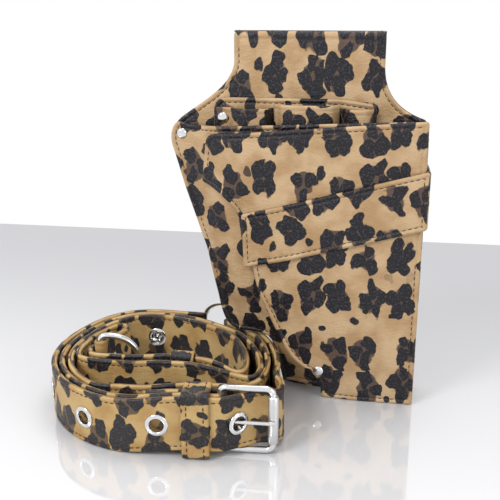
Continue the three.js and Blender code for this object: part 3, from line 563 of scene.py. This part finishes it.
    @staticmethod
    def smoothed(depth, faces, count):
        beside = [set() for _ in range(count)]
        for face in faces:
            for a, b in zip(face, face[1:] + face[:1]):
                beside[a].add(b)
                beside[b].add(a)
        for _ in range(6):
            for i in range(count):
                if depth[i] is None:
                    known = [depth[j] for j in beside[i] if depth[j] is not None]
                    depth[i] = sum(known) / len(known) if known else None
        known = [d for d in depth if d is not None]
        depth = [sum(known) / len(known) if d is None else d for d in depth]
        for _ in range(14):
            around = [sum(depth[j] for j in beside[i]) / max(1, len(beside[i])) for i in range(count)]
            depth = [0.5 * own + 0.5 * mean for own, mean in zip(depth, around)]
        return depth

    @staticmethod
    def profile(d, half, rim):
        """Height of the face above the middle of the leather, by the distance from its edge."""
        radius = half + 0.25
        rounded = half * math.sqrt(max(0.0, 1 - max(0.0, 1 - d / radius) ** 2))
        bead = rim * math.exp(-((d - 1.3) / 0.8) ** 2)
        groove = -1.3 * rim * math.exp(-((d - SEAM_IN) / 0.42) ** 2)
        return rounded + bead + groove

    def stitch_run(self, keep=lambda p: True, distance=SEAM_IN):
        """Runs along the seam, broken where keep() is false."""
        runs, run = [], []
        row = self.inward(distance)
        for p in row + row[:1]:
            hit, normal, _, _ = self.surface.ray_cast(self.solid_point(p, 400), -self.out)
            wanted = hit is not None and keep(self.solid_point(p, 0))
            if not wanted or (run and (hit - run[-1][0]).length > 4):
                if len(run) > 2:
                    runs.append(run)
                run = []
            if wanted:
                run.append((hit, normal if normal.dot(self.out) > 0 else -normal))
        return runs + ([run] if len(run) > 2 else [])


def panel(node, facing, shift, material=PRINT, stitched=lambda p: True, **look):
    """A panel with its stitches, where `stitched` is true of the place."""
    made = Panel(node, facing)
    made.build(node + "_leather", material, shift, **look)
    stitches(node + "_stitches", made.stitch_run(stitched), node)


# ---------------------------------------------------------------- strips
def closed_middle(outer, inner):
    """The middle line and the thickness of a strip that joins up with itself."""
    dense = resample(inner, length_of(inner + inner[:1]) / 4000, True)[:4000]
    tree = KDTree(4000)
    for i, p in enumerate(dense):
        tree.insert(p, i)
    tree.balance()
    middle = [(p + tree.find(p)[0]) / 2 for p in resample(outer, STRIP_FINE, True)]
    return middle, 2 * (middle[0] - tree.find(middle[0])[0]).length


def turned_back(loop):
    """(width, index) of each edge where the outline turns back on itself, the narrowest first."""
    count = len(loop)
    ends = []
    for i in range(count):
        a, b, c, d = (loop[(i + k) % count] for k in (-1, 0, 1, 2))
        before, end, after = b - a, c - b, d - c
        if before.length and after.length and before.normalized().dot(after.normalized()) < -0.5:
            square = abs(end.normalized().dot(before.normalized())) < 0.75
            ends.append((end.length * (1 if square else 9), i))
    return sorted(ends)


def long_sides(loop):
    """The two long sides of an open strip's outline."""
    ends = turned_back(loop)
    best = None
    for wide, i in ends[:6]:
        for wide_2, j in ends[:6]:
            one, other = loop[i + 1:j + 1], loop[j + 1:] + loop[:i + 1]
            if i < j and len(one) > 1 and len(other) > 1:
                gap = abs(length_of(one) - length_of(other)) + 3 * (wide + wide_2)
                if best is None or gap < best[0]:
                    best = (gap, one, other)
    if best:
        return best[1:]
    # Only one end is square: the other lies half the outline's length away.
    _, i = ends[0]
    turned = loop[i + 1:] + loop[:i + 1]
    half_way = min(range(2, len(loop) - 1),
                   key=lambda k: abs(length_of(turned[:k]) - length_of(turned[k - 1:])))
    return turned[:half_way], turned[half_way - 1:]


def strip_path(node, across):
    """The middle line of a strip of even thickness, its thickness, and whether it is closed."""
    solid = welded(node)
    edge_faces = [face for face in solid.faces if face.normal.dot(across) > 0.75]
    level = max(face.calc_center_median().dot(across) for face in edge_faces)
    loops = loops_round([face for face in edge_faces if face.calc_center_median().dot(across) > level - 6])
    if len(loops) > 1 and length_of(loops[1]) > 0.6 * length_of(loops[0]):
        return *closed_middle(loops[0], loops[1]), True
    one, other = long_sides(loops[0])
    one, other = resample(one, STRIP_FINE), resample(other[::-1], STRIP_FINE)
    middle, at = [], 0
    for p in one:
        window = range(max(0, at - 16), min(len(other), at + 17))
        at = min(window, key=lambda k: (other[k] - p).length)
        middle.append((p + other[at]) / 2)
    thick = sorted((p - m).length * 2 for p, m in zip(one, middle))[len(one) // 2]
    return middle, thick, False


def strip_profile(width, thick):
    """(v, half thickness) across a strip: a turned edge, a stitch groove and a plain middle."""
    half = thick / 2
    rows = [(0.0, 0.32 * half), (0.18, 0.55 * half), (0.5, 0.82 * half), (1.0, half), (1.7, half),
            (2.3, half * 0.93), (SEAM_IN, half * 0.80 - STRIP_RIM * 0.3), (3.4, half * 0.88),
            (4.4, half * 0.93)]
    rows = [(d, h) for d, h in rows if d < width / 2 - 0.3]
    if rows[-1][0] > width / 2 - 1:
        rows.pop()
    last, height = rows[-1]
    inner = max(1, round((width - 2 * last) / 1.5))
    low = [(d - width / 2, h) for d, h in rows]
    flat = [(last - width / 2 + (width - 2 * last) * k / inner, height) for k in range(1, inner)]
    return low + flat + [(-v, h) for v, h in reversed(low)]


def strip_sections(path, across, width, closed):
    """At each step: the middle, the face's normal, the distance walked, the end's taper and a ripple."""
    count = len(path)
    walked, sections = 0.0, []
    for i, p in enumerate(path):
        after = path[(i + 1) % count] if closed or i < count - 1 else p
        before = path[i - 1] if closed or i > 0 else p
        along = after - before
        along -= across * along.dot(across)
        along.normalize()
        if i:
            walked += (p - path[i - 1]).length
        taper = 1.0 if closed else min(1.0, 0.35 + min(i, count - 1 - i) * 0.4)
        middle = p - across * (width / 2)
        sections.append((middle, along.cross(across), walked, taper, 0.12 * noise.noise(middle * 0.06)))
    return sections


def strip_faces(count, rows, closed, gone):
    """Both faces and the edges of a strip, with the walls of the holes where squares are gone."""
    faces = []
    back = count * rows
    for i in range(count if closed else count - 1):
        j = (i + 1) % count
        for r in range(rows - 1):
            if (i, r) in gone:
                continue
            a, b, c, d = i * rows + r, j * rows + r, j * rows + r + 1, i * rows + r + 1
            faces += [(a, b, c, d), (back + d, back + c, back + b, back + a)]
            around = (((i, r - 1), b, a), ((i, r + 1), d, c), ((i - 1, r), a, d), ((i + 1, r), c, b))
            for beside, p, q in around:
                if beside in gone:
                    faces.append((p, q, back + q, back + p))
        low_a, low_b = i * rows, j * rows
        faces.append((low_b, low_a, back + low_a, back + low_b))
        high_a, high_b = low_a + rows - 1, low_b + rows - 1
        faces.append((high_a, high_b, back + high_b, back + high_a))
    if not closed:
        for i, order in ((0, 1), (count - 1, -1)):
            for r in range(rows - 1):
                a, b = i * rows + r, i * rows + r + 1
                faces.append((a, b, back + b, back + a)[::order])
    return faces


def strip(name, node, across, material, shift, spacing=2.0, thick=None, holes=(), seams=(1, 1), ease=6):
    """A strip of leather along its CAD solid's middle line. Seams: which faces get stitches."""
    across = Vector(across)
    path, cad_thick, closed = strip_path(node, across)
    path = eased(resample(path, spacing, closed), ease, closed)
    levels = [v.co.dot(across) * 1000 for v in frame["nodes"][node].data.vertices]
    level = [p.dot(across) for p in path]
    width = max(levels) - min(levels) - (max(level) - min(level))
    profile = strip_profile(width, thick or cad_thick)
    sections = strip_sections(path, across, width, closed)
    count, rows = len(path), len(profile)
    vertices, uvs = [], []
    for side in (1, -1):
        for middle, normal, s, taper, ripple in sections:
            for v, h in profile:
                vertices.append(middle + across * v + normal * (side * h * taper + ripple))
                uvs.append((s + shift[0], v + shift[1] + (0 if side > 0 else STRIP_OTHER_SIDE)))
    if closed:
        # The print runs evenly round a closed strip.
        total = sections[-1][2] + (path[0] - path[-1]).length
        for k in range(len(uvs)):
            uvs[k] = (total * (k // rows % count) / count + shift[0], uvs[k][1])

    def is_hole(i, r):
        centre = (vertices[i * rows + r] + vertices[(i + 1) % count * rows + r + 1]) / 2
        return any((centre - middle).length < reach for middle, reach in holes)

    spans = count if closed else count - 1
    gone = {(i, r) for i in range(spans) for r in range(rows - 1) if holes and is_hole(i, r)}
    piece(name, vertices, strip_faces(count, rows, closed, gone), material, node, uvs)
    runs = []
    seam_rows = [k for k, (v, _) in enumerate(profile) if abs(abs(v) - (width / 2 - SEAM_IN)) < 0.01]
    for face, wanted in enumerate(seams):
        for r in seam_rows if wanted else ():
            out = 1 if face == 0 else -1
            line = [vertices[(face * count + i) * rows + r] for i in range(count)]
            run = [(p, section[1] * out) for p, section in zip(line, sections)]
            if holes:
                run = run[2:-2]
            runs.append(run + run[:1] if closed else run)
    if runs:
        stitches(name + "_stitches", runs, node)


# ---------------------------------------------------------------- metal
def tube(name, path, radius, material, node):
    """A closed ring of round wire along a path of points."""
    vertices, faces = [], []
    count = len(path)
    side = Vector((1, 0, 0)) if abs((path[1] - path[-1]).normalized().x) < 0.7 else UP
    for i, p in enumerate(path):
        along = (path[(i + 1) % count] - path[i - 1]).normalized()
        side = (side - along * side.dot(along)).normalized()
        other = along.cross(side)
        for k in range(WIRE_SIDES):
            turn = 2 * math.pi * k / WIRE_SIDES
            vertices.append(p + (side * math.cos(turn) + other * math.sin(turn)) * radius)
    for i in range(count):
        j = (i + 1) % count
        shift = 0
        if j == 0:
            shift = min(range(WIRE_SIDES), key=lambda k: (vertices[i * WIRE_SIDES] - vertices[k]).length)
        for k in range(WIRE_SIDES):
            a, b = i * WIRE_SIDES + k, i * WIRE_SIDES + (k + 1) % WIRE_SIDES
            c = j * WIRE_SIDES + (k + 1 + shift) % WIRE_SIDES
            d = j * WIRE_SIDES + (k + shift) % WIRE_SIDES
            faces.append((a, b, c, d))
    piece(name, vertices, faces, material, node)


def lathe(name, centre, axis, profile, material, node, closed=True):
    """A turned piece: (radius, height along the axis) pairs. A closed profile is a ring's section."""
    axis = axis.normalized()
    side = axis.orthogonal().normalized()
    other = axis.cross(side)
    vertices, faces = [], []
    for k in range(LATHE_SIDES):
        turn = 2 * math.pi * k / LATHE_SIDES
        out = side * math.cos(turn) + other * math.sin(turn)
        vertices += [centre + out * radius + axis * height for radius, height in profile]
    rows = len(profile)
    for k in range(LATHE_SIDES):
        j = (k + 1) % LATHE_SIDES
        for r in range(rows if closed else rows - 1):
            n = (r + 1) % rows
            faces.append((k * rows + r, j * rows + r, j * rows + n, k * rows + n))
    if not closed:
        faces.append(tuple(k * rows for k in range(LATHE_SIDES))[::-1])
        faces.append(tuple(k * rows + rows - 1 for k in range(LATHE_SIDES)))
    made = piece(name, vertices, faces, material, node)
    tidy = bmesh.new()
    tidy.from_mesh(made.data)
    bmesh.ops.remove_doubles(tidy, verts=tidy.verts, dist=1e-6)
    bmesh.ops.recalc_face_normals(tidy, faces=tidy.faces)
    tidy.to_mesh(made.data)


def arc_points(centre, radius, start, stop, count):
    """Points of a section's corner, with angles in degrees."""
    return [(centre[0] + radius * math.cos(math.radians(start + (stop - start) * k / count)),
             centre[1] + radius * math.sin(math.radians(start + (stop - start) * k / count)))
            for k in range(count + 1)]


def eyelets():
    """Rolled eyelets: a flange on each face of the strap, joined by a sleeve. Returns the strap's holes."""
    holes = []
    for node in [name for name in frame["nodes"] if name.startswith("eyelet_") or name == "stud_eyelet"]:
        points = np.array([list(v.co) for v in frame["nodes"][node].data.vertices]) * 1000
        low, high = (Vector(corner) * 1000 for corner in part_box(node))
        centre = (low + high) / 2
        away = points - np.array(centre)
        axis = Vector(np.linalg.svd(away, full_matrices=False)[2][2])
        heights = away @ np.array(axis)
        low, high = float(heights.min()), float(heights.max())
        outer = float(np.linalg.norm(away - np.outer(heights, np.array(axis)), axis=1).max())
        section = arc_points((outer - 0.5, high - 0.55), 0.5, -90, 90, 4)
        section += arc_points((EYELET_HOLE + 0.9, high - 0.5), 0.9, 60, 180, 6)
        section += arc_points((EYELET_HOLE + 0.9, low + 0.5), 0.9, 180, 300, 6)
        section += arc_points((outer - 0.5, low + 0.55), 0.5, -90, 90, 4)
        section += [(EYELET_HOLE + 0.7, low + 1.1), (EYELET_HOLE + 0.7, high - 1.1)]
        lathe(node + "_ring", centre, axis, section, CHROME, node)
        holes.append((centre, STRAP_HOLE))
    return holes


def rivets():
    """The pouch's rivets: domed caps with a turned lip, and flat backs with a dimple."""
    for node in [name for name in frame["nodes"] if "rivet" in name and "d_ring" not in name]:
        low, high = (Vector(corner) * 1000 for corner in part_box(node))
        face = Vector(((low.x + high.x) / 2, low.y, (low.z + high.z) / 2))
        radius = (high.x - low.x) / 2
        if "washer" in node:
            section = [(0.01, 0.0), (radius, 0.0), (radius + 0.1, 0.35), (radius * 0.86, 0.85),
                       (radius * 0.5, 1.0), (radius * 0.3, 0.7), (0.01, 0.6)]
        else:
            section = [(0.01, 4.0), (1.1, 4.0), (1.1, 1.7), (radius - 0.1, 1.6), (radius + 0.12, 1.35),
                       (radius, 1.05), (radius * 0.92, 0.72), (radius * 0.74, 0.34), (radius * 0.45, 0.08),
                       (radius * 0.2, 0.01), (0.01, 0.0)]
        name = node + ("_back" if "washer" in node else "_cap")
        lathe(name, face, Vector((0, 1, 0)), section, CHROME, node, closed=False)


def d_ring(node, joint):
    """A D of round wire: a straight bar that its tab holds, and a bow."""
    bar = Vector(JOINTS[joint]["pos_m"]) * 1000
    low, high = (Vector(corner) * 1000 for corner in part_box(node))
    points = [v.co * 1000 for v in frame["nodes"][node].data.vertices]
    far = max(points, key=lambda p: (p - bar).xy.length)
    way = Vector((far.x - bar.x, far.y - bar.y, 0))
    reach = way.length - RING_WIRE
    way.normalize()
    half = (high.z - low.z) / 2 - RING_WIRE
    middle = (high.z + low.z) / 2
    corner = 3.0
    turns = [math.radians(angle) for angle in (30, 60, 90)]
    bends = [(corner - corner * math.cos(turn), half - corner + corner * math.sin(turn)) for turn in turns]
    section = [(0.0, corner - half), (0.0, half - corner)] + bends
    steps = 28
    for k in range(1, steps):
        turn = math.pi / 2 - math.pi * k / steps
        out = abs(math.cos(turn)) ** 0.9
        up = math.copysign(abs(math.sin(turn)) ** 0.86, turn)
        section.append((corner + (reach - corner) * out, half * up))
    section += [(x, -z) for x, z in reversed(bends)]
    path = [Vector((bar.x, bar.y, middle)) + way * x + UP * z for x, z in section]
    tube(node + "_wire", resample(path, 1.4, True), RING_WIRE, CHROME, node)


def buckle():
    """The wire frame, with a satin roller turning on its far bar."""
    heel = Vector(JOINTS["buckle_swing"]["pos_m"]) * 1000
    end = Vector(JOINTS["roller_spin"]["pos_m"]) * 1000
    way = (end - heel).normalized()
    length = (end - heel).length
    low, high = (Vector(corner) * 1000 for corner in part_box("buckle_frame"))
    half = (high.z - low.z) / 2 - BUCKLE_WIRE
    corner = 4.0
    corners = [(corner, half - corner, 180), (length - corner, half - corner, 90),
               (length - corner, corner - half, 0), (corner, corner - half, -90)]
    section = []
    for x, z, start in corners:
        section += arc_points((x, z), corner, start, start - 90, 6)
    path = [heel + way * x + UP * z for x, z in section]
    tube("buckle_frame_wire", resample(path, 1.5, True), BUCKLE_WIRE, CHROME, "buckle_frame")
    low, high = (Vector(corner) * 1000 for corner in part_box("buckle_roller"))
    half = (high.z - low.z) / 2
    outer = (high.x - low.x) / 2
    bore = BUCKLE_WIRE + 0.3
    section = [(bore, -half), (outer - 0.5, -half), (outer, 0.5 - half), (outer, half - 0.5),
               (outer - 0.5, half), (bore, half)]
    lathe("buckle_roller_tube", end, UP, section, SATIN, "buckle_roller")


# ---------------------------------------------------------------- the holster
def soft_copy(node, material, bevel):
    """The CAD shape with softened edges, for a leather part that is mostly hidden."""
    solid = welded(node)
    vertices = [v.co.copy() for v in solid.verts]
    faces = [tuple(v.index for v in face.verts) for face in solid.faces]
    uvs = [(v.x + 0.6 * v.y, v.z + 0.4 * v.y) for v in vertices]
    made = piece(node + "_leather", vertices, faces, material, node, uvs)
    edge = made.modifiers.new("soft_edge", "BEVEL")
    edge.width = bevel * MM
    edge.segments = 3
    edge.limit_method = "ANGLE"
    edge.angle_limit = math.radians(35)


def build_holster():
    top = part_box("belt_loop")[1][2] * 1000
    panel_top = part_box("back_panel")[1][2] * 1000
    neck_end = panel_top - 5

    def over_the_top(p):
        """The neck's leather runs up and over, to meet the belt loop's fold."""
        share = max(0.0, (p.z - neck_end) / (panel_top - neck_end))
        return p + Vector((0, 1.6 * share ** 4 - 0.4 * share, (top + 0.15 - panel_top) * share))

    panel("back_panel", FRONT, (0, 0), swell=0.35, shape=over_the_top, stitched=lambda p: p.z < neck_end)
    panel("back_lining", REAR, (40, 10), material=LINING, swell=0.2, stitched=lambda p: p.z < neck_end)
    panel("middle_pocket", FRONT, (13, 77), swell=0.5, wrinkle=0.5, stitched=lambda p: p.z > 8)
    panel("front_pocket_upper", FRONT, (57, 31), swell=0.6, wrinkle=0.5, stitched=lambda p: p.x < 32)
    panel("front_pocket_lower", FRONT, (91, 102), swell=0.7, wrinkle=0.6, stitched=lambda p: p.z < 90)
    panel("diagonal_band", FRONT, (23, 9), swell=0.35)
    panel("sleeve_backing", FRONT, (71, 47), swell=0.2, stitched=lambda p: p.z > 150)
    panel("side_gusset", RIGHT, (5, 61), swell=0.1)
    for side, shift in (("left", (0, 33)), ("middle", (48, 71)), ("right", (97, 12))):
        node = "shears_sleeve_" + side
        strip(node + "_leather", node, UP, PRINT, shift, spacing=1.2, thick=2.1, seams=(1, 0), ease=2)
    strip("belt_loop_leather", "belt_loop", RIGHT, PRINT, (31, 55), spacing=1.6, ease=3)
    soft_copy("pocket_gusset", PRINT, 0.4)
    soft_copy("base_gusset", PRINT, 0.4)
    wrap = Panel("diagonal_band", RIGHT, least=0.9)
    wrap.build("diagonal_band_wrap_leather", PRINT, (61, 17), swell=0.1)
    stitches("diagonal_band_wrap_stitches", wrap.stitch_run(), "diagonal_band")


def build_belt():
    holes = eyelets()
    strip("belt_strap_leather", "belt_strap", UP, BELT_PRINT, (0, 0), thick=BELT_THICK, holes=holes, ease=4)
    for node, joint, shift in (("keeper_loop", "keeper_shift", (9, 60)),
                               ("inner_keeper_loop", "inner_keeper_shift", (52, 18))):
        strip(node + "_leather", node, JOINTS[joint]["axis"], BELT_PRINT, shift, spacing=1.0, ease=3)
    for node in ("back_d_ring_tab", "inner_d_ring_tab"):
        strip(node + "_leather", node, UP, BELT_PRINT, (17, 44), spacing=0.8, seams=(0, 0), ease=2)
    d_ring("back_d_ring", "back_d_ring_swing")
    d_ring("inner_d_ring", "inner_d_ring_swing")
    buckle()


def finish_cad_nodes():
    """Every CAD node still shown gets its finish."""
    finishes = {"print": PRINT, "belt_print": BELT_PRINT, "black": LINING, "board": BOARD,
                "chrome": CHROME}
    for node, made in frame["nodes"].items():
        if made.hide_render:
            continue
        made.data.materials.clear()
        made.data.materials.append(finishes[NODE_SLOTS[node]])


# ---------------------------------------------------------------- the studio
def build_floor():
    mesh = bpy.data.meshes.new("floor")
    left, right, near, far = -1.6, 1.6, -1.2, 0.35
    corners = [(left, near, 0), (right, near, 0), (right, far, 0), (left, far, 0)]
    mesh.from_pydata(corners, [], [(0, 1, 2, 3)])
    floor = bpy.data.objects.new("floor", mesh)
    bpy.context.scene.collection.objects.link(floor)
    g = Nodes("floor_gloss")
    place = g.node("ShaderNodeTexCoord").outputs["Object"]
    depth = g.node("ShaderNodeSeparateXYZ", {"Vector": place}).outputs[1]
    # Painted shade: the floor is darker towards the back.
    shade = g.mix(g.ramp(depth, -0.25, 0.35), colour("dcdcde"), colour("a9a9ad"))
    mesh.materials.append(g.use(Base_Color=shade, Roughness=0.05, Metallic=0.22))


def build_studio():
    scene = bpy.context.scene
    build_floor()
    world = bpy.data.worlds.new("studio")
    scene.world = world
    world.use_nodes = True
    background = world.node_tree.nodes["Background"]
    background.inputs["Color"].default_value = (1.0, 1.0, 1.0, 1.0)
    background.inputs["Strength"].default_value = 1.0

    target = Vector((-0.05, 0, 0.09))
    for name, place, size, power in LAMPS:
        lamp = bpy.data.lights.new(name, "AREA")
        lamp.size = size
        lamp.energy = power
        made = bpy.data.objects.new(name, lamp)
        made.location = place
        made.rotation_euler = (target - Vector(place)).to_track_quat("-Z", "Y").to_euler()
        scene.collection.objects.link(made)
    scene.view_settings.view_transform = "Standard"

    camera = bpy.data.cameras.new("camera")
    camera.lens = 57.6
    camera.sensor_width = 36.0
    holder = bpy.data.objects.new("camera", camera)
    holder.location = (0.0063, -0.4626, 0.234)
    holder.rotation_euler = (math.radians(90 - CAMERA_DOWN), 0, math.radians(CAMERA_TURN))
    scene.collection.objects.link(holder)
    scene.camera = holder


build_studio()
build_holster()
build_belt()
rivets()
finish_cad_nodes()
